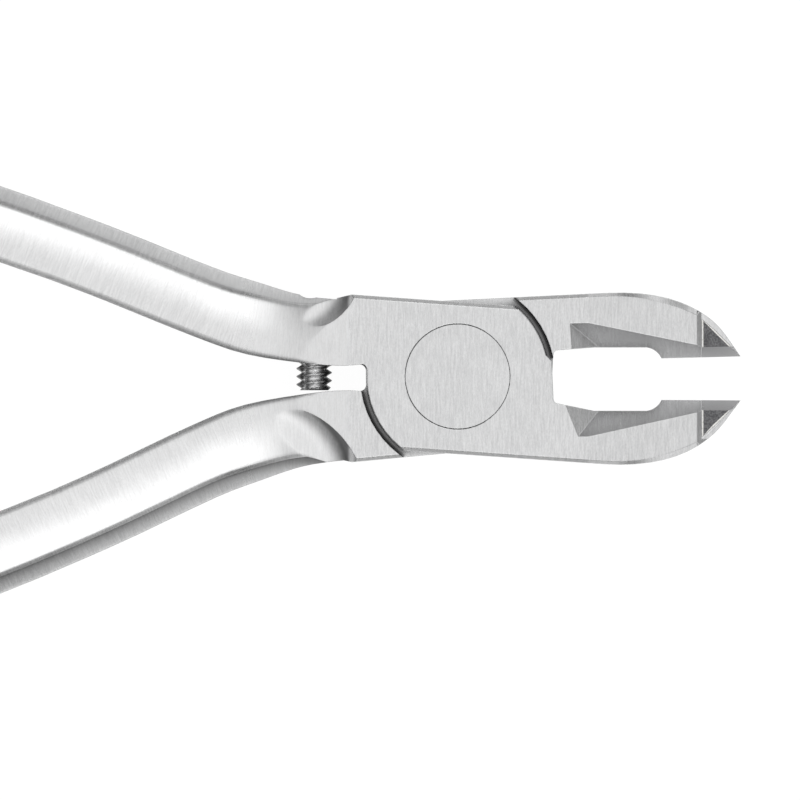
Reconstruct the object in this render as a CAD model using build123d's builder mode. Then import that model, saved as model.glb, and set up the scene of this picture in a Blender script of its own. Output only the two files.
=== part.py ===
from build123d import *
import os
from math import atan2, cos, degrees, radians, sin, tan

# Straight orthodontic pliers with a flush lap joint, a stop screw and hard-metal jaw tips.
# Lying flat: +X runs from the pivot to the jaw tips, -X to the handles, +Z is up.
# The origin is on the pivot's axis, at the underside of the joint.

# Head and lap joint
head_thickness = 6.2
lap_gap = 0.02
plate_radius = 7.32
shoulder_gap = 0.44
head_chamfer = 0.28
edge_break = 0.12
neck_corner_run = 1.11
neck_inner_flare = 0.15
neck_inner_fillet = 0.5
neck_overlap = 1.2
free_corner_angle = 50.0
window_corner_angle = 12.3
root_corner_angle = 233.6

# Jaws, measured forward from the plate
window_nose_run = 0.18
window_nose_height = 1.2
window_run = 0.33
window_corner_height = 2.08
window_corner_fillet = 0.4
window_slope_length = 3.25
window_length = 7.45
window_relief = 0.87
heel_length = 1.18
cutting_length = 6.32
jaw_widest_run = 4.05
jaw_taper_run = 2.75
jaw_flat_length = 3.12
jaw_flat_half_thickness = 0.845
jaw_step_run = 0.38
jaw_step_height = 0.2
bevel_angle = 46.2
bevel_end_angle = 43.0
# Outer curve of the jaw: shares of the way from its widest place to the tip and of its half width
jaw_curve_shares = [(0.358, 0.976), (0.587, 0.873), (0.826, 0.621)]

# Middle of the heel's curve, as shares of its length and depth
heel_curve_shares = (0.68, 0.42)

# Hard-metal tips and their braze
hard_tip_length = 3.1
tip_rim = 0.42
braze_thickness = 0.12

# Handles
handle_half_thickness = 2.45
handle_roll_height = 1.86
handle_crease_height = 1.6
handle_side_height = 0.36
handle_roll_run = 0.32
handle_bevel = 1.16
handle_easing = 0.46
handle_easing_drop = 0.26
neck_top_height = 3.5
neck_roll_height = 3.3
neck_crease_height = 3.2
neck_side_height = 2.9
neck_bevel = 0.4
# Sections along a handle, from inside the head to the end, in three stretches. Each has its share
# of the length, then shares of the handle's width and thickness, then how far its crown and its
# side have become the neck's
neck_section_shares = [
    (0.000, 0.77, 1.00, 1.00, 1.00),
    (0.025, 0.89, 1.00, 1.00, 1.00),
    (0.050, 0.93, 1.00, 0.88, 0.64),
    (0.075, 0.95, 1.00, 0.48, 0.20),
    (0.100, 1.01, 1.00, 0.24, 0.06),
    (0.125, 1.01, 1.00, 0.06, 0.00),
    (0.150, 1.00, 1.00, 0.00, 0.00),
    (0.175, 1.00, 1.00, 0.00, 0.00),
    (0.200, 1.00, 1.00, 0.00, 0.00),
    (0.225, 1.00, 1.00, 0.00, 0.00),
    (0.250, 1.00, 1.00, 0.00, 0.00),
]
grip_section_shares = [
    (0.250, 1.00, 1.00, 0.00, 0.00),
    (0.350, 1.04, 1.00, 0.00, 0.00),
    (0.450, 1.11, 1.01, 0.00, 0.00),
    (0.550, 1.18, 1.02, 0.00, 0.00),
    (0.650, 1.23, 1.02, 0.00, 0.00),
    (0.750, 1.26, 1.02, 0.00, 0.00),
    (0.850, 1.24, 1.01, 0.00, 0.00),
    (0.950, 1.16, 0.98, 0.00, 0.00),
]
end_section_shares = [
    (0.9500, 1.16, 0.98, 0.00, 0.00),
    (0.9625, 1.13, 0.96, 0.00, 0.00),
    (0.9750, 1.06, 0.90, 0.00, 0.00),
    (0.9875, 0.90, 0.77, 0.00, 0.00),
    (1.0000, 0.54, 0.50, 0.00, 0.00),
]

# Handles' reach behind the pivot, and their centre lines as shares of that reach and of the
# rise from the neck to the widest place
handle_reach = 112.5
centre_reach_shares = [0.0444, 0.0978, 0.1458, 0.2258, 0.400, 0.711, 1.000]

# Upper lever: handle, neck, scoop beside the head, jaw and cutting edge
upper_handle_width = 5.7
upper_neck_height = 3.61
upper_handle_height = 22.6
upper_rise_shares = [0.010, 0.0, 0.055, 0.233, 0.594, 1.000, 0.995]
upper_neck_corner_height = 6.54
upper_neck_inner_height = 0.93
upper_scoop_run = 4.5
upper_scoop_rise = 1.06
upper_scoop_radius = 4.45
upper_scoop_depth = 0.9
upper_bevel_run = 0.75
upper_bevel_slant = -22.0
upper_jaw_half_width = 6.99
upper_edge_offset = 1.86
upper_edge_flare = 0.04

# Lower lever: the same, and its handle stands wider
lower_handle_width = 6.05
lower_neck_height = 4.07
lower_handle_height = 25.3
lower_rise_shares = [-0.006, 0.0, 0.057, 0.243, 0.614, 1.000, 1.000]
lower_neck_corner_height = 6.83
lower_neck_inner_height = 1.12
lower_scoop_run = 7.6
lower_scoop_rise = 2.07
lower_scoop_radius = 7.7
lower_scoop_depth = 0.92
lower_bevel_run = 1.5
lower_bevel_slant = 4.0
lower_jaw_half_width = 6.66
lower_edge_offset = 1.45
lower_edge_flare = 0.16

# Wheel that grinds the scoops: the rounding of its rim, and how it leans outwards and towards the head
wheel_rim_run = 1.8
wheel_rim_height = 0.8
wheel_lean = 8.0
wheel_pitch = 6.0

# Pivot rivet
rivet_head_diameter = 8.4
rivet_head_height = 1.6
rivet_shank_diameter = 5.2
rivet_tail_diameter = 6.8
rivet_tail_height = 1.2
rivet_edge_chamfer = 0.06
rivet_seat_clearance = 0.02
rivet_running_clearance = 0.04

# Stop screw, a number 4 screw with a hexagon socket
screw_diameter = 2.845
screw_run = 3.01
screw_recess = 0.45
screw_end_gap = 0.15
screw_clearance = 0.05
screw_chamfer = 0.3
screw_socket_width = 1.27
screw_socket_depth = 1.6

# Length by which every cut runs past the metal it cuts
overrun = 2.0

mid_height = head_thickness / 2
half_thickness = head_thickness / 2
shoulder_radius = plate_radius + shoulder_gap
neck_corner_reach = plate_radius + neck_corner_run
neck_end_reach = neck_corner_reach + neck_overlap
window_reach = plate_radius + window_run
window_end_reach = window_reach + window_length
heel_reach = window_end_reach + heel_length
tip_reach = heel_reach + cutting_length
jaw_widest_reach = window_reach + jaw_widest_run
screw_reach = neck_corner_reach + screw_run


def circle_point(radius, angle):
    return (radius * cos(radians(angle)), radius * sin(radians(angle)))


def mix(handle_size, neck_size, share):
    return handle_size + (neck_size - handle_size) * share


def handle_section(width, thickness_share, crown_share, side_share):
    """Section of a handle: highest inside, curving down to a roll and a bevel on the outer side."""
    half_width = width / 2
    top = mix(handle_half_thickness, neck_top_height, crown_share) * thickness_share
    roll = mix(handle_roll_height, neck_roll_height, side_share) * thickness_share
    crease = mix(handle_crease_height, neck_crease_height, side_share) * thickness_share
    side = mix(handle_side_height, neck_side_height, side_share) * thickness_share
    bevel = mix(handle_bevel, neck_bevel, crown_share) * width / upper_handle_width
    easing = mix(handle_easing, edge_break, crown_share)
    easing_drop = mix(handle_easing_drop, edge_break, crown_share)
    with BuildSketch() as section:
        with BuildLine():
            Polyline(
                (-half_width, 0),
                (-half_width, top - easing_drop),
                (easing - half_width, top),
            )
            crown = TangentArc(
                (easing - half_width, top),
                (half_width - bevel - handle_roll_run, roll),
                tangent=(1, 0),
            )
            Polyline(crown @ 1, (half_width - bevel, crease), (half_width, side), (half_width, 0))
            mirror(about=Plane.XZ)
        make_face()
    return section.sketch


def handle(lever_sizes):
    """A handle along its centre line, lofted through crowned sections with a bevelled outer side."""
    low, high = lever_sizes["neck_height"], lever_sizes["handle_height"]
    rises = [mix(low, high, share) for share in lever_sizes["rise_shares"]]
    with BuildLine() as path:
        Spline([(-handle_reach * share, rise) for share, rise in zip(centre_reach_shares, rises)])
    line = path.line
    with BuildPart() as bar:
        for section_shares in (neck_section_shares, grip_section_shares, end_section_shares):
            for along, width_share, thickness_share, crown_share, side_share in section_shares:
                direction = line % along
                outward = Vector(direction.Y, -direction.X)
                width = lever_sizes["handle_width"] * width_share
                with BuildSketch(Plane(origin=line @ along, x_dir=outward, z_dir=direction)):
                    add(handle_section(width, thickness_share, crown_share, side_share))
            loft()
        # The crown is ground flush with the head where it rises past it
        with BuildSketch(Plane.XY.offset(half_thickness), Plane.XY.offset(-half_thickness - overrun)):
            Rectangle(handle_reach, handle_reach)
        extrude(amount=overrun, mode=Mode.SUBTRACT)
    return bar.part


def head_outline(lever_sizes):
    """Plan of the neck's end, the plate and the jaw, drawn with the jaw below the axis."""
    inner_height = lever_sizes["neck_inner_height"]
    inner_angle = 180 - degrees(atan2(inner_height, plate_radius))
    jaw_widest = (jaw_widest_reach, -lever_sizes["jaw_half_width"])
    tip = (tip_reach, -lever_sizes["edge_offset"] - lever_sizes["edge_flare"])
    heel = (heel_reach, -lever_sizes["edge_offset"])
    wall_height = -lever_sizes["edge_offset"] - window_relief
    neck_left = -neck_end_reach
    neck_top = lever_sizes["neck_corner_height"] - head_chamfer
    curve = [jaw_curve_point(x_share, y_share, lever_sizes) for x_share, y_share in jaw_curve_shares]
    with BuildSketch() as outline:
        with BuildLine():
            Line((neck_left, inner_height + neck_inner_flare), circle_point(plate_radius, inner_angle))
            root = CenterArc((0, 0), plate_radius, inner_angle, root_corner_angle - inner_angle)
            edge = Line(root @ 1, jaw_widest)
            tip_way = Vector(tip) - Vector(curve[-1])
            Spline([jaw_widest] + curve + [tip], tangents=[edge % 1, tip_way])
            Line(tip, heel)
            along, across = heel_curve_shares
            heel_curve = (mix(window_end_reach, heel_reach, along), mix(wall_height, heel[1], across))
            ThreePointArc(heel, heel_curve, (window_end_reach, wall_height))
            Polyline(
                (window_end_reach, wall_height),
                (window_reach + window_slope_length, wall_height),
                (window_reach, -window_corner_height),
                (plate_radius + window_nose_run, window_nose_height),
                circle_point(plate_radius, window_corner_angle),
            )
            free_span = free_corner_angle - window_corner_angle
            free = CenterArc((0, 0), plate_radius, window_corner_angle, free_span)
            Polyline(
                free @ 1,
                (-neck_corner_reach, lever_sizes["neck_corner_height"]),
                (neck_left, neck_top),
                (neck_left, inner_height + neck_inner_flare),
            )
        make_face()
        corners = outline.vertices()
        fillet(corners.sort_by_distance(circle_point(plate_radius, inner_angle))[0], neck_inner_fillet)
        corners = outline.vertices()
        fillet(corners.sort_by_distance((window_reach, -window_corner_height))[0], window_corner_fillet)
    return outline.sketch


def jaw_curve_point(x_share, y_share, lever_sizes):
    return (mix(jaw_widest_reach, tip_reach, x_share), -y_share * lever_sizes["jaw_half_width"])


def taper_cutter(lever_sizes):
    """Metal ground away above and below a jaw, which leaves it thin and flat at its tip."""
    with BuildPart() as cutter:
        with BuildSketch(Plane.XZ):
            with BuildLine():
                Polyline(
                    (window_reach + jaw_taper_run, half_thickness),
                    (tip_reach - jaw_flat_length - jaw_step_run, jaw_flat_half_thickness + jaw_step_height),
                    (tip_reach - jaw_flat_length, jaw_flat_half_thickness),
                    (tip_reach + overrun, jaw_flat_half_thickness),
                    (tip_reach + overrun, half_thickness + overrun),
                    (window_reach + jaw_taper_run, half_thickness + overrun),
                    close=True,
                )
            make_face()
            mirror(about=Plane.XZ)
        extrude(amount=lever_sizes["jaw_half_width"] + overrun, both=True)
    return cutter.part


def bevel_cutter(lever_sizes):
    """Metal ground away beside the window, in two bevels that meet at the cutting edge. A slanted facet
    ends each bevel beside the plate."""
    along_edge = Vector(cutting_length, -lever_sizes["edge_flare"]).normalized()
    bevel_reach = window_reach + lever_sizes["bevel_run"]
    start = Vector(heel_reach, -lever_sizes["edge_offset"]) - along_edge * (heel_reach - bevel_reach)
    rise = half_thickness + overrun
    out = rise / tan(radians(bevel_angle))
    facet_way = Vector(*circle_point(sin(radians(bevel_end_angle)), -lever_sizes["bevel_slant"]))
    facet_way = facet_way + Vector(0, 0, cos(radians(bevel_end_angle)))
    with BuildPart() as cutter:
        with BuildSketch(Plane(origin=start, x_dir=(along_edge.Y, -along_edge.X), z_dir=along_edge)):
            with BuildLine():
                Polyline((0, 0), (out, -rise), (-overrun, -rise), (-overrun, 0), close=True)
            make_face()
        extrude(amount=tip_reach)
        extrude(cutter.faces().sort_by(Axis.X)[0], amount=overrun)
        split(bisect_by=Plane(start + Vector(0, 0, half_thickness), z_dir=facet_way), keep=Keep.TOP)
        mirror(about=Plane.XY)
    return cutter.part


def scoop_wheel(lever_sizes):
    """A grinding wheel with a rounded rim, standing on its own floor at the origin."""
    mouth = lever_sizes["scoop_radius"]
    with BuildPart() as wheel:
        with BuildSketch(Plane.XZ):
            with BuildLine():
                floor = Line((0, 0), (mouth - wheel_rim_run, 0))
                rim = TangentArc(floor @ 1, (mouth, wheel_rim_height), tangent=(1, 0))
                flare = Line(rim @ 1, rim @ 1 + rim % 1 * overrun)
                Polyline(flare @ 1, (0, (flare @ 1).Y), (0, 0))
            make_face()
        revolve(axis=Axis.Z)
    return wheel.part


def rims_of(piece):
    """Edges round the top and bottom of a plate, without those that cross it."""
    rims = piece.edges() - piece.edges().filter_by(Axis.Z) - piece.edges().filter_by(Axis.Y)
    return rims.filter_by(lambda rim: abs(rim.center().Z) > lap_gap)


def is_outer(rim):
    """True for the long rims on the outer side of the neck, the plate and the jaw."""
    long_enough = rim.geom_type != GeomType.CIRCLE and rim.length > head_chamfer + head_chamfer
    return long_enough and abs(rim.center().Y) > plate_radius / 2


def blank(lever_sizes):
    """One forged and ground lever about its mid-plane, its plate above and its jaw whole."""
    bar = handle(lever_sizes)
    outline = head_outline(lever_sizes)
    taper = taper_cutter(lever_sizes)
    bevels = bevel_cutter(lever_sizes)
    wheel = scoop_wheel(lever_sizes)
    with BuildPart() as lever:
        extrude(outline, amount=half_thickness, both=True)
        inner = rims_of(lever).filter_by(lambda rim: rim.center().X < plate_radius)
        chamfer(inner.filter_by(is_outer, reverse=True), edge_break)
        add(taper, mode=Mode.SUBTRACT)
        chamfer(rims_of(lever).filter_by(is_outer), head_chamfer)
        add(bar)
        # Room for the other lever's plate
        with BuildSketch(Plane.XY.offset(lap_gap / 2)):
            Circle(shoulder_radius)
        extrude(amount=-half_thickness - overrun, mode=Mode.SUBTRACT)
        add(bevels, mode=Mode.SUBTRACT)
        # Scoops ground into the neck
        scoop_reach = neck_corner_reach + lever_sizes["scoop_run"]
        scoop_rise = lever_sizes["neck_corner_height"] + lever_sizes["scoop_rise"]
        floor_height = half_thickness - lever_sizes["scoop_depth"]
        above = Location((-scoop_reach, scoop_rise, floor_height), (-wheel_lean, wheel_pitch, 0))
        below = Location((-scoop_reach, scoop_rise, -floor_height), (180 + wheel_lean, wheel_pitch, 0))
        with Locations(above, below):
            add(wheel, mode=Mode.SUBTRACT)
    return lever.part


def pocket_outline(lever_sizes, inset):
    """Plan of the pocket that holds a jaw's hard tip, drawn smaller by the inset."""
    rim = tip_rim + inset
    seam_reach = tip_reach - hard_tip_length + inset
    near = jaw_curve_point(*jaw_curve_shares[-2], lever_sizes)
    last = jaw_curve_point(*jaw_curve_shares[-1], lever_sizes)
    tip_height = -lever_sizes["edge_offset"] - lever_sizes["edge_flare"]
    with BuildSketch() as outline:
        with BuildLine():
            Polyline(
                (seam_reach, tip_height + overrun),
                (seam_reach, (near[1] + last[1]) / 2 + rim),
                (last[0] - rim / 2, last[1] + rim),
                (tip_reach - inset, tip_height),
                (tip_reach - inset, tip_height + overrun),
                close=True,
            )
        make_face()
    return outline.sketch


def lever_set(lever_sizes):
    """A lever, its hard tip and the braze between them, about the lever's mid-plane."""
    whole = blank(lever_sizes)
    pocket = pocket_outline(lever_sizes, 0)
    seat = pocket_outline(lever_sizes, braze_thickness)
    with BuildPart() as lever:
        add(whole)
        extrude(pocket, amount=half_thickness, both=True, mode=Mode.SUBTRACT)
    with BuildPart() as tip:
        add(whole)
        extrude(seat, amount=half_thickness, both=True, mode=Mode.INTERSECT)
    with BuildPart() as braze:
        add(whole)
        extrude(pocket, amount=half_thickness, both=True, mode=Mode.INTERSECT)
        extrude(seat, amount=half_thickness, both=True, mode=Mode.SUBTRACT)
    return lever.part, tip.part, braze.part


os.makedirs("parts", exist_ok=True)

upper_sizes = {
    "handle_width": upper_handle_width,
    "neck_height": upper_neck_height,
    "handle_height": upper_handle_height,
    "rise_shares": upper_rise_shares,
    "neck_corner_height": upper_neck_corner_height,
    "neck_inner_height": upper_neck_inner_height,
    "scoop_run": upper_scoop_run,
    "scoop_rise": upper_scoop_rise,
    "scoop_radius": upper_scoop_radius,
    "scoop_depth": upper_scoop_depth,
    "bevel_run": upper_bevel_run,
    "bevel_slant": upper_bevel_slant,
    "jaw_half_width": upper_jaw_half_width,
    "edge_offset": upper_edge_offset,
    "edge_flare": upper_edge_flare,
}
lower_sizes = {
    "handle_width": lower_handle_width,
    "neck_height": lower_neck_height,
    "handle_height": lower_handle_height,
    "rise_shares": lower_rise_shares,
    "neck_corner_height": lower_neck_corner_height,
    "neck_inner_height": lower_neck_inner_height,
    "scoop_run": lower_scoop_run,
    "scoop_rise": lower_scoop_rise,
    "scoop_radius": lower_scoop_radius,
    "scoop_depth": lower_scoop_depth,
    "bevel_run": lower_bevel_run,
    "bevel_slant": lower_bevel_slant,
    "jaw_half_width": lower_jaw_half_width,
    "edge_offset": lower_edge_offset,
    "edge_flare": lower_edge_flare,
}
upper_forging, lower_tip_solid, lower_braze_solid = lever_set(upper_sizes)
lower_forging, upper_tip_solid, upper_braze_solid = lever_set(lower_sizes)

# Lever with the bottom plate, the same forging turned over, running on the rivet
with BuildPart() as lower_lever:
    with Locations((0, 0, mid_height)):
        add(lower_forging, rotation=(180, 0, 0))
    with BuildSketch(Plane.XY.offset(-overrun)):
        Circle(rivet_shank_diameter / 2 + rivet_running_clearance)
    extrude(amount=head_thickness, mode=Mode.SUBTRACT)
    with BuildSketch():
        Circle(rivet_tail_diameter / 2 + rivet_running_clearance)
    extrude(amount=rivet_tail_height + lap_gap, mode=Mode.SUBTRACT)
lower_lever.part.label = "lower_lever"
export_step(lower_lever.part, "parts/lower_lever.step")

# Where the screw's end meets the lower lever's neck
with BuildPart() as contact_patch:
    add(lower_lever.part)
    with BuildSketch(Plane.XZ):
        with Locations((-screw_reach, mid_height)):
            Circle(screw_diameter / 2)
    extrude(amount=tip_reach, both=True, mode=Mode.INTERSECT)
screw_end_height = contact_patch.part.bounding_box().max.Y + screw_end_gap

# Lever with the top plate, which the rivet's head and the stop screw seat in
with BuildPart() as upper_lever:
    with Locations((0, 0, mid_height)):
        add(upper_forging)
    with BuildSketch(Plane.XY.offset(head_thickness)):
        Circle(rivet_head_diameter / 2 + rivet_seat_clearance)
    extrude(amount=-rivet_head_height, mode=Mode.SUBTRACT)
    with BuildSketch(Plane.XY.offset(head_thickness)):
        Circle(rivet_shank_diameter / 2 + rivet_seat_clearance)
    extrude(amount=-head_thickness, mode=Mode.SUBTRACT)
    with BuildSketch(Plane.XZ):
        with Locations((-screw_reach, mid_height)):
            Circle(screw_diameter / 2 + screw_clearance)
    extrude(amount=-tip_reach, mode=Mode.SUBTRACT)
upper_lever.part.label = "upper_lever"
export_step(upper_lever.part, "parts/upper_lever.step")

# Rivet with a ground-flush head above and a smaller flush tail below
with BuildPart() as pivot_rivet:
    with BuildSketch(Plane.XZ):
        with BuildLine():
            Polyline(
                (0, 0),
                (rivet_tail_diameter / 2 - rivet_edge_chamfer, 0),
                (rivet_tail_diameter / 2, rivet_edge_chamfer),
                (rivet_tail_diameter / 2, rivet_tail_height),
                (rivet_shank_diameter / 2, rivet_tail_height),
                (rivet_shank_diameter / 2, head_thickness - rivet_head_height),
                (rivet_head_diameter / 2, head_thickness - rivet_head_height),
                (rivet_head_diameter / 2, head_thickness - rivet_edge_chamfer),
                (rivet_head_diameter / 2 - rivet_edge_chamfer, head_thickness),
                (0, head_thickness),
                close=True,
            )
        make_face()
    revolve(axis=Axis.Z)
pivot_rivet.part.label = "pivot_rivet"
export_step(pivot_rivet.part, "parts/pivot_rivet.step")

# Headless stop screw across the necks
screw_top_height = upper_neck_corner_height - head_chamfer - screw_recess
with BuildPart() as stop_screw:
    with BuildSketch(Plane.XZ.offset(-screw_end_height)):
        with Locations((-screw_reach, mid_height)):
            Circle(screw_diameter / 2)
    extrude(amount=screw_end_height - screw_top_height)
    ends = stop_screw.edges().filter_by(GeomType.CIRCLE)
    chamfer(ends, screw_chamfer)
    with BuildSketch(Plane.XZ.offset(-screw_top_height)):
        with Locations((-screw_reach, mid_height)):
            RegularPolygon(screw_socket_width / 2, 6, major_radius=False)
    extrude(amount=screw_socket_depth, mode=Mode.SUBTRACT)
stop_screw.part.label = "stop_screw"
export_step(stop_screw.part, "parts/stop_screw.step")

# Hard tips and braze seams, each in the frame of the lever that carries it
with BuildPart() as lower_jaw_tip:
    with Locations((0, 0, mid_height)):
        add(lower_tip_solid)
lower_jaw_tip.part.label = "lower_jaw_tip"
export_step(lower_jaw_tip.part, "parts/lower_jaw_tip.step")

with BuildPart() as upper_jaw_tip:
    with Locations((0, 0, mid_height)):
        add(upper_tip_solid, rotation=(180, 0, 0))
upper_jaw_tip.part.label = "upper_jaw_tip"
export_step(upper_jaw_tip.part, "parts/upper_jaw_tip.step")

with BuildPart() as lower_tip_braze:
    with Locations((0, 0, mid_height)):
        add(lower_braze_solid)
lower_tip_braze.part.label = "lower_tip_braze"
export_step(lower_tip_braze.part, "parts/lower_tip_braze.step")

with BuildPart() as upper_tip_braze:
    with Locations((0, 0, mid_height)):
        add(upper_braze_solid, rotation=(180, 0, 0))
upper_tip_braze.part.label = "upper_tip_braze"
export_step(upper_tip_braze.part, "parts/upper_tip_braze.step")
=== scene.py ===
import math

import bmesh
import bpy
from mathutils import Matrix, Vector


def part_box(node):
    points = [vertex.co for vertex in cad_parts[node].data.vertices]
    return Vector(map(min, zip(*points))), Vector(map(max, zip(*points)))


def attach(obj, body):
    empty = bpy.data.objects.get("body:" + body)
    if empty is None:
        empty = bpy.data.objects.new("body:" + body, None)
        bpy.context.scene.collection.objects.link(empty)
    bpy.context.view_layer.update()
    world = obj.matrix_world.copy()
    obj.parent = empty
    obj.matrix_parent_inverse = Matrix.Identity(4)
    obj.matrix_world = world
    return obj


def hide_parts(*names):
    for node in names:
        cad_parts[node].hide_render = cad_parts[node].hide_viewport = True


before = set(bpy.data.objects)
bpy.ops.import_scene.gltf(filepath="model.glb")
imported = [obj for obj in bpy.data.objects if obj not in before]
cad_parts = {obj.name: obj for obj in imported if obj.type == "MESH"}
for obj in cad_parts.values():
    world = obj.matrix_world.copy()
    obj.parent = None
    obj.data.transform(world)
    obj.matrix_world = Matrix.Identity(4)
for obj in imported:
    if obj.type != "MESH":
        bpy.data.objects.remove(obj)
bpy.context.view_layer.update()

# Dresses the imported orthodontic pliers: satin ground steel on the two levers and the rivet, speckled
# hard metal on the two tips, a bright seam of braze round each, and a stop screw with a cut thread.
# Everything is in metres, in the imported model's own frame: +X is towards the tips and +Z is up.

bl_info = {
    "name": "Orthodontic Pliers",
    "version": (1, 0, 0),
    "blender": (4, 5, 0),
    "location": "3D View > Sidebar > Pliers",
    "description": "Finishes, stop screw thread and studio for a pair of orthodontic pliers",
    "category": "Object",
}

MILLIMETRE = 0.001
MICRON = 0.000001
SENSOR_WIDTH = 36.0   # the camera's sensor, in the millimetres that Blender wants for it and the lens
FAR_END = 50.0        # how far the camera sees
FLOOR_CORNERS = 96
SHARP_ANGLE = math.radians(35)
CREVICE_SAMPLES = 12  # rays that look for a wall nearby
EDGE_SAMPLES = 6      # rays that look for an edge nearby
FINE_EASE = 0.02 * MILLIMETRE   # how far the edges of the small pieces roll over
WHITE = (1.0, 1.0, 1.0, 1.0)

screw_low, screw_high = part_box("stop_screw")
screw_centre = ((screw_low.x + screw_high.x) / 2, (screw_low.z + screw_high.z) / 2)
screw_radius = (screw_high.x - screw_low.x) / 2

# Each pair says where a smooth step starts and ends. A rise is the square of how far a face looks up:
# 1 on a flat face and 0 on an upright one. A lean is how far a face looks towards the tips. A tone is a
# height in the noise, and the open share is how much of its surroundings a point sees.
BEVEL_RISE = (0.5, 0.68)
CROWN_RISE = (0.7, 0.9)
TIP_TOP_RISE = (0.85, 0.95)
SCOOP_WALL_LEAN = (-0.62, -0.3)
OPEN_SHARE = (0.2, 0.65)
STEEL_TONE = (0.25, 0.75)
TIP_TONE = (0.38, 0.66)
BRAZE_TONE = (0.3, 0.6)
SCREW_TONE = (0.3, 0.7)

# How the grains, specks and clouds of the finishes are mixed
STREAK_SHARE = 0.6       # of the ground grain, with the flecks as the rest
FLECK_FINENESS = 1.7     # how many times finer than the streaks the flecks are
FLECK_SHORTNESS = 6.0    # how many times shorter than the streaks they are
MOTTLE_SHARE = 0.12      # what the clouds add to the grain
SPECK_SHARE = 0.75       # of the hard metal's tone, with the patches as the rest
PATCH_GRAINS = 4         # how many grains wide a patch is
MARK_SHORTNESS = 3       # how much shorter along the screw its marks are than they are wide
RING_FADE = 1.1          # where the faint part of the rivet's ring of painted shade ends, as a multiple of its reach

# The light tent, told by an arrow of length 1 from the tool to a part of it. Each pair says over which
# stretch a part comes up or dies away, by the arrow's X, by its Y to either side or by its Z.
END_WALL_X = (0.2, 0.7)
TOP_Z = (0.60, 0.86)
STRIP_NEAR_Y = (0.155, 0.325)
STRIP_NARROWING = 0.8    # how much further aside the strips start for each unit of the arrow's X
STRIP_FAR_Y = (0.76, 0.86)
STRIP_X = (-0.08, 0.06)
STRIP_Z = (0.4, 0.5)
EAVES_Y = (0.6, 0.8)
EAVES_Z = (0.3, 0.45)
CORNER_X = (0.3, 0.5)
CORNER_Y = (0.35, 0.55)
CORNER_Z = (0.3, 0.5)


class Socket:
    """A node's output that takes part in Python sums. Each operator adds one Math node."""

    def __init__(self, shader, output):
        self.shader = shader
        self.output = output

    def sum_with(self, operation, first, second):
        return self.shader.node("ShaderNodeMath", {"operation": operation}, {0: first, 1: second})

    def __add__(self, other):
        return self.sum_with("ADD", self, other)

    def __radd__(self, other):
        return self.sum_with("ADD", other, self)

    def __sub__(self, other):
        return self.sum_with("SUBTRACT", self, other)

    def __rsub__(self, other):
        return self.sum_with("SUBTRACT", other, self)

    def __mul__(self, other):
        return self.sum_with("MULTIPLY", self, other)

    def __rmul__(self, other):
        return self.sum_with("MULTIPLY", other, self)

    def __abs__(self):
        return self.shader.node("ShaderNodeMath", {"operation": "ABSOLUTE"}, {0: self})


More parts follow.
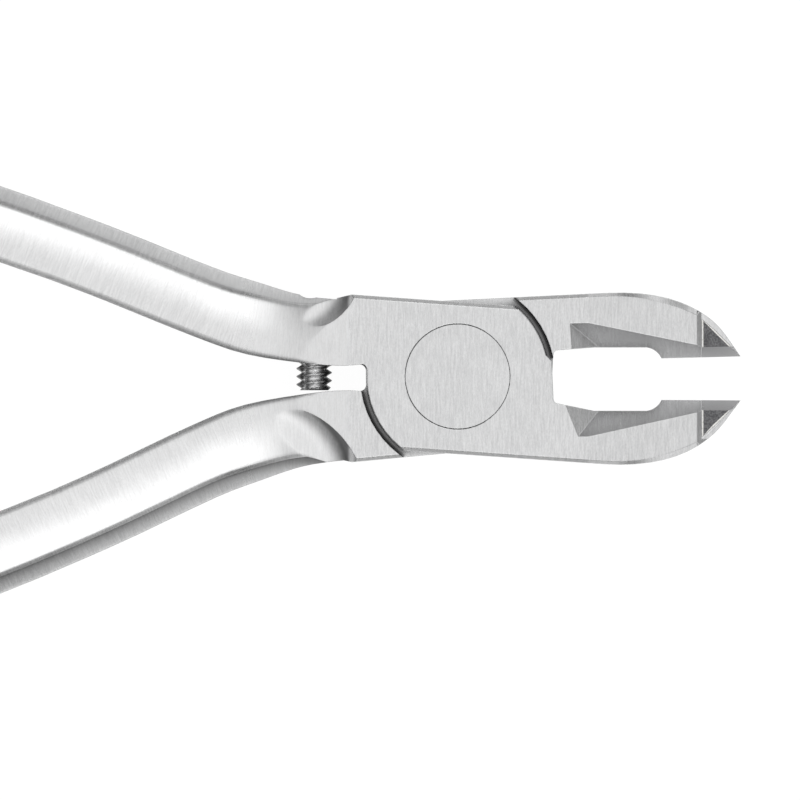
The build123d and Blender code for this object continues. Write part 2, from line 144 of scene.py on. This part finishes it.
class Shader:
    """The nodes of one material or world."""

    def __init__(self, owner):
        owner.use_nodes = True
        self.tree = owner.node_tree
        self.tree.nodes.clear()

    def node(self, kind, settings=None, inputs=None, outputs=(0,)):
        """Adds a node, applies its settings, then fills its inputs with values or links."""
        made = self.tree.nodes.new(kind)
        for name, value in (settings or {}).items():
            setattr(made, name, value)
        for name, value in (inputs or {}).items():
            if isinstance(value, Socket):
                self.tree.links.new(value.output, made.inputs[name])
            else:
                made.inputs[name].default_value = value
        found = [Socket(self, made.outputs[name]) for name in outputs if made.outputs]
        return found[0] if len(found) == 1 else found

    def parts(self, vector):
        """The x, y and z of a vector."""
        return self.node("ShaderNodeSeparateXYZ", inputs={"Vector": vector}, outputs=("X", "Y", "Z"))

    def place(self):
        """The x, y and z of a point in the piece's own frame, so that a finish rides with it."""
        return self.parts(self.node("ShaderNodeTexCoord", outputs=("Object",)))

    def facing(self):
        """The x, y and z of the way a point faces, in the piece's own frame."""
        return self.parts(self.node("ShaderNodeTexCoord", outputs=("Normal",)))

    def noise(self, x, y, z, detail, roughness):
        """Noise between 0 and 1 at a point that is already scaled along each axis."""
        point = self.node("ShaderNodeCombineXYZ", inputs={"X": x, "Y": y, "Z": z})
        values = {"Vector": point, "Scale": 1.0, "Detail": detail, "Roughness": roughness}
        return self.node("ShaderNodeTexNoise", inputs=values)

    def step(self, value, span, bottom=0.0, top=1.0):
        """Goes smoothly from bottom to top as value goes from the start of span to its end."""
        low, high = span
        values = {"Value": value, "From Min": low, "From Max": high, "To Min": bottom, "To Max": top}
        return self.node("ShaderNodeMapRange", {"interpolation_type": "SMOOTHSTEP"}, values)

    def openness(self, reach):
        """From 0 in a slot or a seam to 1 on an open face, judged by what stands within this reach."""
        values = {"Distance": reach}
        free = self.node("ShaderNodeAmbientOcclusion", {"samples": CREVICE_SAMPLES}, values, ("AO",))
        return self.step(free, OPEN_SHARE)

    def tint(self, share, first, second):
        """A colour that goes from first to second with share."""
        values = {0: share, 6: first, 7: second}
        return self.node("ShaderNodeMix", {"data_type": "RGBA"}, values, outputs=(2,))

    def blend(self, share, first, second):
        """A direction that goes from first to second with share."""
        values = {0: share, 4: first, 5: second}
        return self.node("ShaderNodeMix", {"data_type": "VECTOR"}, values, outputs=(1,))

    def rolled(self, ease):
        """The way a point faces, with the edges rolled over by a buff, by this much."""
        return self.node("ShaderNodeBevel", {"samples": EDGE_SAMPLES}, {"Radius": ease})

    def metal(self, colour, roughness, height, depth, rolled=None):
        """Closes a metal's tree: its colour, its roughness, a surface relief of this depth, and its
        rolled edges."""
        rolled = rolled or self.rolled(FINE_EASE)
        values = {"Height": height, "Strength": 1.0, "Distance": depth, "Normal": rolled}
        relief = self.node("ShaderNodeBump", inputs=values)
        values = {"Base Color": colour, "Roughness": roughness, "Metallic": 1.0, "Normal": relief}
        surface = self.node("ShaderNodeBsdfPrincipled", inputs=values)
        self.node("ShaderNodeOutputMaterial", inputs={"Surface": surface})


def new_material(name):
    """A new material and the shader that fills it."""
    material = bpy.data.materials.new(name)
    return material, Shader(material)


def opaque(colour):
    """A colour with the full opacity that a colour socket wants."""
    return (*colour, 1.0)


def dress(node, material):
    """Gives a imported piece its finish."""
    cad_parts[node].material_slots[0].material = material


class SteelFace:
    """The ground faces of the levers and the rivet: where a point is on them and which way it faces."""

    def __init__(self, shader, settings):
        self.shader = shader
        self.settings = settings
        self.x, self.y, self.z = shader.place()
        self.forward, _, up = shader.facing()
        self.rise = up * up
        self.away = self.x * self.x + self.y * self.y
        self.behind_head = shader.step(self.x, (settings.scoop_end, settings.scoop_start))
        self.edged = self.rivet_ring()

    def rivet_ring(self):
        """0 on the faint stretches of the painted shade in the ring round the rivet and 1 everywhere
        else.
        """
        settings = self.settings
        ring_end = settings.ring_reach * RING_FADE
        off_ring = self.shader.step(self.away, (settings.ring_reach ** 2, ring_end ** 2))
        aside = abs(self.y) - self.x * settings.ring_lean
        deep = self.shader.step(aside, (settings.ring_faint, settings.ring_darkest))
        return off_ring + deep - off_ring * deep

    def grain(self, lean):
        """The grain's height, and its tone with faint clouds in it. The grain runs across the tool:
        square to the head, and leaning by this slope where the handle slants, so that it stays square
        to the handle."""
        shader, settings = self.shader, self.settings
        x, y, z = self.x, self.y, self.z
        turn = (settings.grain_turn_end, settings.grain_turn_start)
        slant = shader.step(x, turn, lean, 0.0)
        straighten = shader.step(x, (settings.grain_back_end, settings.grain_back_start))
        across = x + y * slant * straighten
        fine = 1 / settings.grain_width
        long = 1 / settings.grain_length
        streaks = shader.noise(across * fine, y * long, z * long, detail=3.0, roughness=0.6)
        fine *= FLECK_FINENESS
        long *= FLECK_SHORTNESS
        flecks = shader.noise(across * fine, y * long, z * long, detail=2.0, roughness=0.7)
        cloud = 1 / settings.mottle_width
        mottle = shader.noise(x * cloud, y * cloud, z * cloud, detail=3.0, roughness=0.5)
        grain = streaks * STREAK_SHARE + flecks * (1 - STREAK_SHARE)
        tone = shader.step(grain + mottle * MOTTLE_SHARE - MOTTLE_SHARE / 2, STEEL_TONE)
        return grain, tone

    def ground(self, tone, crease_painted_shade):
        """The ground faces' colour, with a painted highlight on the handles' crowns and painted shade on
        the bevels.
        """
        shader, settings = self.shader, self.settings
        steel = shader.tint(tone, opaque(settings.steel_shade), opaque(settings.steel_light))
        # Painted highlight: the handles' up-facing crowns are lightened.
        crown_highlight = self.behind_head * shader.step(self.rise, CROWN_RISE) * settings.crown_highlight_share
        buffed = shader.tint(crown_highlight, steel, opaque(settings.crown_highlight_colour))
        # Painted shade: the side-facing bevels are darkened, and more so near the handles' creases.
        bevel_height = (settings.bevel_foot, settings.bevel_head)
        near_crease = self.behind_head * shader.step(self.z, bevel_height)
        bevelled = shader.step(self.rise, BEVEL_RISE, 1.0, 0.0)
        shading = bevelled * (near_crease * crease_painted_shade + settings.bevel_painted_shade)
        return shader.tint(shading, buffed, opaque(settings.painted_shade_colour))

    def paint_scoop_wall_shade(self, colour):
        """Paints shade on the steep walls that the wheel left at the front of the scoops, where they
        face -X.
        """
        steep = self.shader.step(self.forward, SCOOP_WALL_LEAN, 1.0, 0.0) * self.behind_head
        return self.shader.tint(steep, colour, opaque(self.settings.scoop_wall_painted_shade))

    def paint_slot_shade(self, colour, painted_shade_colour):
        """Paints shade into the slots and seams, lighter on a slot's floor beside the round plate."""
        shader, settings = self.shader, self.settings
        across_slot = shader.step(self.away, (settings.slot_inner ** 2, settings.slot_outer ** 2))
        slot = shader.tint(across_slot, opaque(settings.slot_floor_painted_light), opaque(painted_shade_colour))
        # Painted shade where walls stand near, faint on parts of the rivet's ring.
        closed = (1 - shader.openness(settings.crevice_reach)) * self.edged
        return shader.tint(closed, colour, slot)

    def roughness(self, tone):
        """The steel's roughness: more on the necks, and a little more on the light grain."""
        settings = self.settings
        neck = self.shader.step(self.x, (settings.neck_back, settings.neck_front)) * self.behind_head
        play = tone * settings.roughness_play - settings.roughness_play / 2
        return neck * settings.neck_roughening + settings.steel_roughness + play

    def edges(self, ease):
        """The way each point faces, with softer edges on the handles than on the head."""
        shader, settings = self.shader, self.settings
        unrolled = shader.node("ShaderNodeNewGeometry", outputs=("Normal",))
        crisp = shader.blend(self.edged, unrolled, shader.rolled(ease))
        worn = shader.step(self.x, (settings.worn_full, settings.worn_start), 1.0, 0.0)
        return shader.blend(worn, crisp, shader.rolled(settings.worn_ease))


def ground_steel(name, settings, lean, crease_painted_shade, painted_shade_colour, ease):
    """Satin steel with a fine ground grain, painted highlights on the crowns and painted shade on
    bevels, walls and slots.
    """
    material, shader = new_material(name)
    face = SteelFace(shader, settings)
    grain, tone = face.grain(lean)
    colour = face.paint_slot_shade(face.paint_scoop_wall_shade(face.ground(tone, crease_painted_shade)), painted_shade_colour)
    shader.metal(colour, face.roughness(tone), grain, settings.grain_depth, face.edges(ease))
    return material


def painted_bevel_grey(shader, settings, colour):
    """Keeps this colour on the flat top, and paints the bevels grey: painted light on a tip, painted
    shade on braze.
    """
    up = shader.facing()[2]
    flat = shader.step(up * up, TIP_TOP_RISE)
    return shader.tint(flat, opaque(settings.bevel_paint_grey), colour)


def metres(name, default, text):
    return bpy.props.FloatProperty(name=name, default=default, unit="LENGTH", precision=6,
                                   description=text)


def share(name, default, text):
    return bpy.props.FloatProperty(name=name, default=default, subtype="FACTOR", min=0, max=1,
                                   description=text)


def plain(name, default, text):
    return bpy.props.FloatProperty(name=name, default=default, description=text)


def whole(name, default, text):
    return bpy.props.IntProperty(name=name, default=default, description=text)


def colour(name, default, text):
    return bpy.props.FloatVectorProperty(name=name, default=default, subtype="COLOR", size=3,
                                         min=0, max=1, description=text)


class PliersSteel(bpy.types.PropertyGroup):
    """The ground steel of the levers and the rivet."""

    steel_shade: colour("Steel shade", (0.625, 0.627, 0.631), "The darker lines of the grain")
    steel_light: colour("Steel light", (0.84, 0.842, 0.845), "The lighter lines of the grain")
    # Painted highlight colour for the handles' up-facing crowns.
    crown_highlight_colour: colour("Buffed light", (0.95, 0.95, 0.95), "The steel where it is buffed")
    # Painted shade colour for the scoops' steep walls that face towards -X.
    scoop_wall_painted_shade: colour("Scoop shade", (0.20, 0.20, 0.202), "The wheel marks on a scoop's steep wall")
    # Painted shade colour for slots, seams and bevels, then the lighter painted shade of a slot's floor
    # beside the round plate.
    painted_shade_colour: colour("Crevice shade", (0.045, 0.045, 0.045), "The steel deep in a slot or seam")
    slot_floor_painted_light: colour("Slot floor", (0.22, 0.22, 0.222), "A slot's floor beside the round plate")
    crevice_reach: metres("Crevice reach", 2 * MILLIMETRE, "How near a wall has to stand to shade it")
    slot_inner: metres("Slot's inside", 7.42 * MILLIMETRE, "Off the pivot, where the floor is still lit")
    slot_outer: metres("Slot's outside", 7.62 * MILLIMETRE, "Off the pivot, where the floor is dark")
    # Where the painted shade in the ring round the rivet is faint and where it is darkest.
    ring_reach: metres("Ring's reach", 4.7 * MILLIMETRE, "How far off the pivot the rivet's ring is")
    ring_lean: plain("Ring's lean", 0.35, "How far the ring's deep ends lean towards -X")
    ring_faint: metres("Faint ring", 1.5 * MILLIMETRE, "The ring is at its faintest here, in Y")
    ring_darkest: metres("Deep ring", 4.0 * MILLIMETRE, "The ring is at its deepest here, in Y")
    # From these on back, the crowns get painted highlight, and the bevels near the creases and the
    # scoops' steep walls get painted shade.
    scoop_start: metres("Scoops start", -8.9 * MILLIMETRE, "Where the scoops' walls start, in X")
    scoop_end: metres("Scoops end", -8.5 * MILLIMETRE, "In front of this the wheel left no marks")
    # How strong the painted highlight on the handles' up-facing crowns is.
    crown_highlight_share: share("Handle buffing", 0.3, "How much brighter the handles' crowns are buffed")
    # How strong the painted shade on the bevels is, and how much more of it lies near each handle's
    # crease.
    bevel_painted_shade: share("Bevel dulling", 0.15, "How much darker the bevels are than the flats")
    upper_crease_shade: share("Upper crease", 0.15, "What the upper handle's bevel has of that at its crease")
    lower_crease_shade: share("Lower crease", 0.60, "What the lower handle's bevel has of that at its crease")
    bevel_foot: metres("Bevel's foot", 3.5 * MILLIMETRE, "The height of the bevels' outer edges")
    bevel_head: metres("Bevel's head", 4.9 * MILLIMETRE, "The height of the bevels' creases")
    steel_roughness: share("Roughness", 0.25, "How far the satin surface spreads a reflection")
    roughness_play: share("Roughness play", 0.05, "How much the roughness differs along the grain")
    neck_roughening: share("Neck roughening", 0.18, "How much rougher the necks are left")
    neck_back: metres("Neck's back", -18 * MILLIMETRE, "Where the rough neck starts, in X")
    neck_front: metres("Neck's front", -12 * MILLIMETRE, "Where the neck is at its roughest, in X")
    grain_width: metres("Grain width", 0.15 * MILLIMETRE, "The width of a grain line")
    grain_length: metres("Grain length", 1.5 * MILLIMETRE, "The length of a grain line")
    grain_depth: metres("Grain depth", 3 * MICRON, "The depth of a grain line")
    mottle_width: metres("Mottle width", 5 * MILLIMETRE, "The size of the faint clouds in the grain")
    grain_turn_start: metres("Turn starts", -11 * MILLIMETRE, "Where the grain starts to lean, in X")
    grain_turn_end: metres("Turn ends", -20 * MILLIMETRE, "Where the grain has its full lean, in X")
    grain_back_start: metres("Return starts", -40 * MILLIMETRE, "Where it starts to straighten, in X")
    grain_back_end: metres("Return ends", -90 * MILLIMETRE, "Where the grain is square again, in X")
    upper_lean: plain("Upper lean", -0.38, "The lean of the grain on the upper handle")
    lower_lean: plain("Lower lean", 0.44, "The lean of the grain on the lower handle")
    rivet_ease: metres("Rivet ease", 0.03 * MILLIMETRE, "How far the rivet's edge rolls over")
    edge_ease: metres("Edge ease", 0.12 * MILLIMETRE, "How far the head's buffed edges roll over")
    worn_ease: metres("Worn ease", 0.6 * MILLIMETRE, "How far the handles' edges roll over")
    worn_start: metres("Worn start", -10.6 * MILLIMETRE, "Where the softer edges start, in X")
    worn_full: metres("Worn full", -11.8 * MILLIMETRE, "Where the edges are at their softest, in X")


class PliersTips(bpy.types.PropertyGroup):
    """The hard metal tips and the braze round them."""

    tip_shade: colour("Tip shade", (0.10, 0.101, 0.105), "The dark grains of the hard metal")
    tip_light: colour("Tip light", (0.24, 0.24, 0.245), "The light grains of the hard metal")
    # Painted grey on the side-facing bevels: painted light on the dark tips, painted shade on the bright
    # braze.
    bevel_paint_grey: colour("Cutting bevel", (0.56, 0.56, 0.565), "The freshly ground bevels of a tip")
    tip_grain: metres("Tip grain", 0.12 * MILLIMETRE, "The size of the grains that show")
    tip_relief: metres("Tip relief", 4 * MICRON, "The depth of the pits between the grains")
    tip_roughness: share("Tip roughness", 0.42, "How far the hard metal spreads a reflection")
    tip_play: share("Tip play", 0.08, "How much rougher its light grains are")
    braze_shade: colour("Braze shade", (0.66, 0.65, 0.62), "The dull parts of the seam")
    braze_light: colour("Braze light", (0.93, 0.92, 0.89), "The bright parts of the seam")
    braze_relief: metres("Braze relief", 8 * MICRON, "The depth of the ripples in the seam")
    braze_roughness: share("Braze roughness", 0.24, "How far the braze spreads a reflection")
    braze_play: share("Braze play", 0.1, "How much rougher its ripples are")


class PliersScrew(bpy.types.PropertyGroup):
    """The stop screw: a No. 4 headless screw with 40 threads to the inch."""

    thread_pitch: metres("Pitch", 0.635 * MILLIMETRE, "From one turn of the thread to the next")
    thread_depth: metres("Depth", 0.39 * MILLIMETRE, "From the crest of the thread to its root")
    crest_share: share("Crest", 0.12, "The flat of the crest, as a share of the pitch")
    root_share: share("Root", 0.14, "The flat of the root, as a share of the pitch")
    worn_reach: metres("Worn end", 0.1 * MILLIMETRE, "How far the end stands past the packed screw's")
    end_chamfer: metres("End chamfer", 0.3 * MILLIMETRE, "The cone at each end")
    socket_width: metres("Socket width", 1.27 * MILLIMETRE, "The hexagon socket, across its flats")
    socket_depth: metres("Socket depth", 1.6 * MILLIMETRE, "The depth of the hexagon socket")
    facets: whole("Facets", 72, "Faces round one turn")
    steps: whole("Steps", 16, "Rows along one pitch")
    screw_shade: colour("Screw shade", (0.66, 0.66, 0.665), "The dull parts of the thread")
    screw_light: colour("Screw light", (0.97, 0.97, 0.97), "The bright parts of the thread")
    # Painted shade at the screw's left and right sides, by distance from its axis in X, between the two
    # shares below.
    side_painted_shade: colour("Oiled shade", (0.10, 0.10, 0.10), "The oil that the thread holds at its sides")
    side_shade_inner: share("Oil's inside", 0.45, "Where the oil starts, as a share of the radius")
    side_shade_outer: share("Oil's outside", 0.72, "Where the oil is full, as a share of the radius")
    mark_width: metres("Mark width", 0.12 * MILLIMETRE, "The width of the marks that the die left")
    mark_depth: metres("Mark depth", 3 * MICRON, "The depth of those marks")
    screw_roughness: share("Screw roughness", 0.2, "How far the thread spreads a reflection")
    screw_play: share("Screw play", 0.12, "How much rougher the marks are")


class PliersStudio(bpy.types.PropertyGroup):
    """The camera, the floor and the light."""

    view_width: metres("View width", 64 * MILLIMETRE, "What the picture takes in, from side to side")
    view_x: metres("View X", -4.59 * MILLIMETRE, "The point below the camera, in X")
    view_y: metres("View Y", -1.87 * MILLIMETRE, "The point below the camera, in Y")
    camera_height: metres("Camera height", 1.5, "The camera's height over the floor")
    floor_radius: metres("Floor radius", 12.0, "The floor reaches this far")
    floor_colour: colour("Floor colour", (0.92, 0.92, 0.92), "The floor, where light falls on it")
    floor_glow: plain("Floor glow", 1.12, "The paper white that the floor shows")
    floor_glow_share: share("Floor glow share", 0.86, "How much of that white the floor shows")
    top_level: plain("Top level", 0.9, "The light from the top of the tent")
    strip_level: plain("Strip level", 0.9, "What the two long strip lights beside the tool add")
    strip_shift: plain("Strip shift", 0.05, "How far the strips stand towards +Y of an even pair")
    near_shift: plain("Near shift", 0.035, "The same for the strips' inner edges")
    eaves_level: plain("Eaves level", 0.35, "What the tent's lower sides add")
    wall_level: plain("Wall level", 0.12, "The light from the dark walls")
    end_wall_level: plain("End wall level", 0.34, "The light from the wall beyond the jaws")
    corner_level: plain("Corner level", 0.6, "What the low panels beside that wall add")


class PliersSettings(bpy.types.PropertyGroup):
    """All the sizes and colours of the pliers."""

    steel: bpy.props.PointerProperty(type=PliersSteel)
    tips: bpy.props.PointerProperty(type=PliersTips)
    screw: bpy.props.PointerProperty(type=PliersScrew)
    studio: bpy.props.PointerProperty(type=PliersStudio)


class PLIERS_OT_levers(bpy.types.Operator):
    """Grinds the two levers and eases their edges"""

    bl_idname = "pliers.levers"
    bl_label = "Finish the levers"

    def execute(self, context):
        settings = context.scene.pliers.steel
        leans = {"upper_lever": (settings.upper_lean, settings.upper_crease_shade),
                 "lower_lever": (settings.lower_lean, settings.lower_crease_shade)}
        for node, (lean, crease) in leans.items():
            finish = ground_steel(node + "_steel", settings, lean, crease, settings.painted_shade_colour,
                                  settings.edge_ease)
            dress(node, finish)
        return {"FINISHED"}


class PLIERS_OT_rivet(bpy.types.Operator):
    """Grinds the pivot rivet flush with the upper lever"""

    bl_idname = "pliers.rivet"
    bl_label = "Finish the pivot rivet"

    def execute(self, context):
        settings = context.scene.pliers.steel
        finish = ground_steel("rivet_steel", settings, 0.0, 0.0, settings.steel_shade,
                              settings.rivet_ease)
        dress("pivot_rivet", finish)
        return {"FINISHED"}


class PLIERS_OT_tips(bpy.types.Operator):
    """Gives the two cutting tips their speckled hard metal"""

    bl_idname = "pliers.tips"
    bl_label = "Finish the hard tips"

    def execute(self, context):
        settings = context.scene.pliers.tips
        material, shader = new_material("hard_metal_tip")
        x, y, z = shader.place()
        fine = 1 / settings.tip_grain
        specks = shader.noise(x * fine, y * fine, z * fine, detail=3.0, roughness=0.6)
        coarse = fine / PATCH_GRAINS
        patches = shader.noise(x * coarse, y * coarse, z * coarse, detail=2.0, roughness=0.5)
        tone = shader.step(specks * SPECK_SHARE + patches * (1 - SPECK_SHARE), TIP_TONE)
        hard = shader.tint(tone, opaque(settings.tip_shade), opaque(settings.tip_light))
        # Painted light: the tips' side-facing bevels are painted a lighter grey.
        shades = painted_bevel_grey(shader, settings, hard)
        roughness = settings.tip_roughness + settings.tip_play * tone
        shader.metal(shades, roughness, specks, settings.tip_relief)
        for node in ("upper_jaw_tip", "lower_jaw_tip"):
            dress(node, material)
        return {"FINISHED"}


class PLIERS_OT_braze(bpy.types.Operator):
    """Gives the seams round the tips their bright braze"""

    bl_idname = "pliers.braze"
    bl_label = "Finish the braze seams"

    def execute(self, context):
        settings = context.scene.pliers.tips
        material, shader = new_material("bright_braze")
        x, y, z = shader.place()
        fine = 1 / settings.tip_grain
        ripples = shader.noise(x * fine, y * fine, z * fine, detail=2.0, roughness=0.5)
        tone = shader.step(ripples, BRAZE_TONE)
        seam = shader.tint(tone, opaque(settings.braze_shade), opaque(settings.braze_light))
        # Painted shade: the seam's side-facing bevels are painted a darker grey.
        shades = painted_bevel_grey(shader, settings, seam)
        roughness = settings.braze_roughness + settings.braze_play * ripples
        shader.metal(shades, roughness, ripples, settings.braze_relief)
        for node in ("upper_tip_braze", "lower_tip_braze"):
            dress(node, material)
        return {"FINISHED"}


def thread_share(turn, settings):
    """The height of the thread over its root, from 0 to 1, at this share of a turn's pitch."""
    flank = (1 - settings.crest_share - settings.root_share) / 2
    from_crest = abs(turn % 1.0 - 1 / 2) * 2
    climb = (1 - from_crest) / 2 - settings.root_share / 2
    return min(max(climb / flank, 0.0), 1.0)


def hexagon_reach(angle, width):
    """How far a hexagon of this width across its flats reaches at an angle."""
    sixth = math.pi / 3
    return width / 2 / math.cos((angle + sixth / 2) % sixth - sixth / 2)


def ring(mesh, y, reach_at, facets):
    """One ring of corners round the screw's axis."""
    corners = []
    for index in range(facets):
        angle = 2 * math.pi * index / facets
        reach = reach_at(angle)
        x = screw_centre[0] + reach * math.cos(angle)
        z = screw_centre[1] + reach * math.sin(angle)
        corners.append(mesh.verts.new((x, y, z)))
    return corners


def skin(mesh, first, second):
    """Joins two rings with a band of faces."""
    count = len(first)
    for index in range(count):
        after = (index + 1) % count
        mesh.faces.new((first[index], first[after], second[after], second[index]))


class PLIERS_OT_screw(bpy.types.Operator):
    """Cuts the stop screw with its thread, its chamfered ends and its hexagon socket"""

    bl_idname = "pliers.screw"
    bl_label = "Cut the stop screw"

    def execute(self, context):
        settings = context.scene.pliers.screw
        mesh = bmesh.new()
        end = self.cut_thread(mesh, settings)
        self.cut_socket(mesh, end, settings)
        self.smooth(mesh)
        data = bpy.data.meshes.new("threaded_stop_screw")
        mesh.to_mesh(data)
        mesh.free()
        piece = bpy.data.objects.new("threaded_stop_screw", data)
        context.scene.collection.objects.link(piece)
        data.materials.append(self.bright_steel(settings))
        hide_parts("stop_screw")
        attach(piece, "screw")
        return {"FINISHED"}

    def cut_thread(self, mesh, settings):
        """Cuts the threaded rod from its closed end, and gives the ring at its other end."""
        bottom, top = screw_low.y - settings.worn_reach, screw_high.y
        count = round((top - bottom) / settings.thread_pitch * settings.steps)
        rings = []
        for row in range(count + 1):
            y = bottom + (top - bottom) * row / count
            to_end = min(y - bottom, top - y)
            cone = screw_radius - settings.end_chamfer + min(to_end, settings.end_chamfer)

            def reach_at(angle):
                turn = y / settings.thread_pitch + angle / (2 * math.pi)
                depth = settings.thread_depth * (1 - thread_share(turn, settings))
                return min(screw_radius - depth, cone)

            rings.append(ring(mesh, y, reach_at, settings.facets))
        for first, second in zip(rings, rings[1:]):
            skin(mesh, first, second)
        mesh.faces.new(rings[0])
        return rings[-1]

    def cut_socket(self, mesh, end, settings):
        """Sinks the hexagon socket into the rod's open end."""

        def reach_at(angle):
            return hexagon_reach(angle, settings.socket_width)

        mouth = ring(mesh, screw_high.y, reach_at, settings.facets)
        floor = ring(mesh, screw_high.y - settings.socket_depth, reach_at, settings.facets)
        skin(mesh, end, mouth)
        skin(mesh, mouth, floor)
        mesh.faces.new(floor)

    def smooth(self, mesh):
        """Shades the screw smooth, apart from its sharp edges."""
        bmesh.ops.recalc_face_normals(mesh, faces=mesh.faces)
        for face in mesh.faces:
            face.smooth = True
        for edge in mesh.edges:
            edge.smooth = edge.calc_face_angle(0) < SHARP_ANGLE

    def bright_steel(self, settings):
        """The bright steel of the thread, with painted shade at its sides, left and right of its axis.
        """
        material, shader = new_material("bright_screw_steel")
        x, y, z = shader.place()
        fine = 1 / settings.mark_width
        short = fine * MARK_SHORTNESS
        marks = shader.noise(x * fine, y * short, z * fine, detail=3.0, roughness=0.6)
        tone = shader.step(marks, SCREW_TONE)
        bright = shader.tint(tone, opaque(settings.screw_shade), opaque(settings.screw_light))
        off_axis = x - screw_centre[0]
        inner, outer = settings.side_shade_inner * screw_radius, settings.side_shade_outer * screw_radius
        # Painted shade on the screw's sides, left and right of its axis.
        sides_shaded = shader.step(off_axis * off_axis, (inner ** 2, outer ** 2))
        shades = shader.tint(sides_shaded, bright, opaque(settings.side_painted_shade))
        roughness = settings.screw_roughness + settings.screw_play * marks
        shader.metal(shades, roughness, marks, settings.mark_depth)
        return material


class PLIERS_OT_studio(bpy.types.Operator):
    """Sets up the camera, the white floor and the light tent"""

    bl_idname = "pliers.studio"
    bl_label = "Set up the studio"

    def execute(self, context):
        settings = context.scene.pliers.studio
        self.aim_camera(context, settings)
        self.lay_floor(context, settings)
        self.light(context, settings)
        context.scene.view_settings.view_transform = "Standard"
        return {"FINISHED"}

    def aim_camera(self, context, settings):
        """Hangs the camera over the tool, looking straight down."""
        camera = bpy.data.cameras.new("camera")
        camera.sensor_width = SENSOR_WIDTH
        camera.lens = SENSOR_WIDTH * settings.camera_height / settings.view_width
        camera.clip_end = FAR_END
        holder = bpy.data.objects.new("camera", camera)
        holder.location = (settings.view_x, settings.view_y, settings.camera_height)
        context.scene.collection.objects.link(holder)
        context.scene.camera = holder

    def lay_floor(self, context, settings):
        """Lays the round paper floor, which shows white to the camera and still takes a shadow."""
        mesh = bmesh.new()
        bmesh.ops.create_circle(mesh, cap_ends=True, radius=settings.floor_radius,
                                segments=FLOOR_CORNERS)
        data = bpy.data.meshes.new("studio_floor")
        mesh.to_mesh(data)
        mesh.free()
        floor = bpy.data.objects.new("studio_floor", data)
        context.scene.collection.objects.link(floor)
        material, shader = new_material("white_paper")
        lit = shader.node("ShaderNodeBsdfDiffuse", inputs={"Color": opaque(settings.floor_colour)})
        values = {"Color": WHITE, "Strength": settings.floor_glow}
        glow = shader.node("ShaderNodeEmission", inputs=values)
        names = ("Is Camera Ray", "Is Glossy Ray", "Is Transmission Ray")
        seen, mirrored, through = shader.node("ShaderNodeLightPath", outputs=names)
        shown = shader.step(seen + mirrored + through, (0.0, 1.0)) * settings.floor_glow_share
        mixed = shader.node("ShaderNodeMixShader", inputs={0: shown, 1: lit, 2: glow})
        shader.node("ShaderNodeOutputMaterial", inputs={"Surface": mixed})
        data.materials.append(material)

    def light(self, context, settings):
        """A light tent: a plain top, a strip light along each side of the jaws, low panels at the
        corners beyond them, and dark walls."""
        world = bpy.data.worlds.new("light_tent")
        context.scene.world = world
        shader = Shader(world)
        x, y, z = shader.parts(shader.node("ShaderNodeTexCoord", outputs=("Generated",)))
        wall = shader.step(x, END_WALL_X, settings.wall_level, settings.end_wall_level)
        top = wall + shader.step(z, TOP_Z) * (settings.top_level - wall)
        aside = abs(y - settings.strip_shift)
        near = shader.step(abs(y - settings.near_shift) - abs(x) * STRIP_NARROWING, STRIP_NEAR_Y)
        far = shader.step(aside, STRIP_FAR_Y, 1.0, 0.0)
        strips = near * far * shader.step(z, STRIP_Z) * shader.step(x, STRIP_X)
        eaves = shader.step(aside, EAVES_Y) * shader.step(z, EAVES_Z)
        low = shader.step(z, CORNER_Z, 1.0, 0.0)
        corners = shader.step(x, CORNER_X) * shader.step(aside, CORNER_Y) * low
        sides = strips * settings.strip_level + eaves * settings.eaves_level
        level = top + sides + corners * settings.corner_level
        values = {"Color": WHITE, "Strength": level}
        shining = shader.node("ShaderNodeBackground", inputs=values)
        shader.node("ShaderNodeOutputWorld", inputs={"Surface": shining})


class PLIERS_PT_panel(bpy.types.Panel):
    """The pliers' operators, with the settings of each below it."""

    bl_idname = "PLIERS_PT_panel"
    bl_label = "Orthodontic pliers"
    bl_space_type = "VIEW_3D"
    bl_region_type = "UI"
    bl_category = "Pliers"

    def draw(self, context):
        settings = context.scene.pliers
        groups = {"steel": (PLIERS_OT_levers, PLIERS_OT_rivet),
                  "tips": (PLIERS_OT_tips, PLIERS_OT_braze),
                  "screw": (PLIERS_OT_screw,),
                  "studio": (PLIERS_OT_studio,)}
        for group, operators in groups.items():
            box = self.layout.box()
            for operator in operators:
                box.operator(operator.bl_idname)
            chosen = getattr(settings, group)
            for name in chosen.__annotations__:
                box.prop(chosen, name)


classes = (PliersSteel, PliersTips, PliersScrew, PliersStudio, PliersSettings,
           PLIERS_OT_levers, PLIERS_OT_rivet, PLIERS_OT_tips, PLIERS_OT_braze, PLIERS_OT_screw,
           PLIERS_OT_studio, PLIERS_PT_panel)


def register():
    for item in classes:
        bpy.utils.register_class(item)
    bpy.types.Scene.pliers = bpy.props.PointerProperty(type=PliersSettings)


def unregister():
    del bpy.types.Scene.pliers
    for item in reversed(classes):
        bpy.utils.unregister_class(item)


def main():
    register()
    bpy.ops.pliers.levers()
    bpy.ops.pliers.rivet()
    bpy.ops.pliers.tips()
    bpy.ops.pliers.braze()
    bpy.ops.pliers.screw()
    bpy.ops.pliers.studio()


if __name__ == "__main__":
    main()
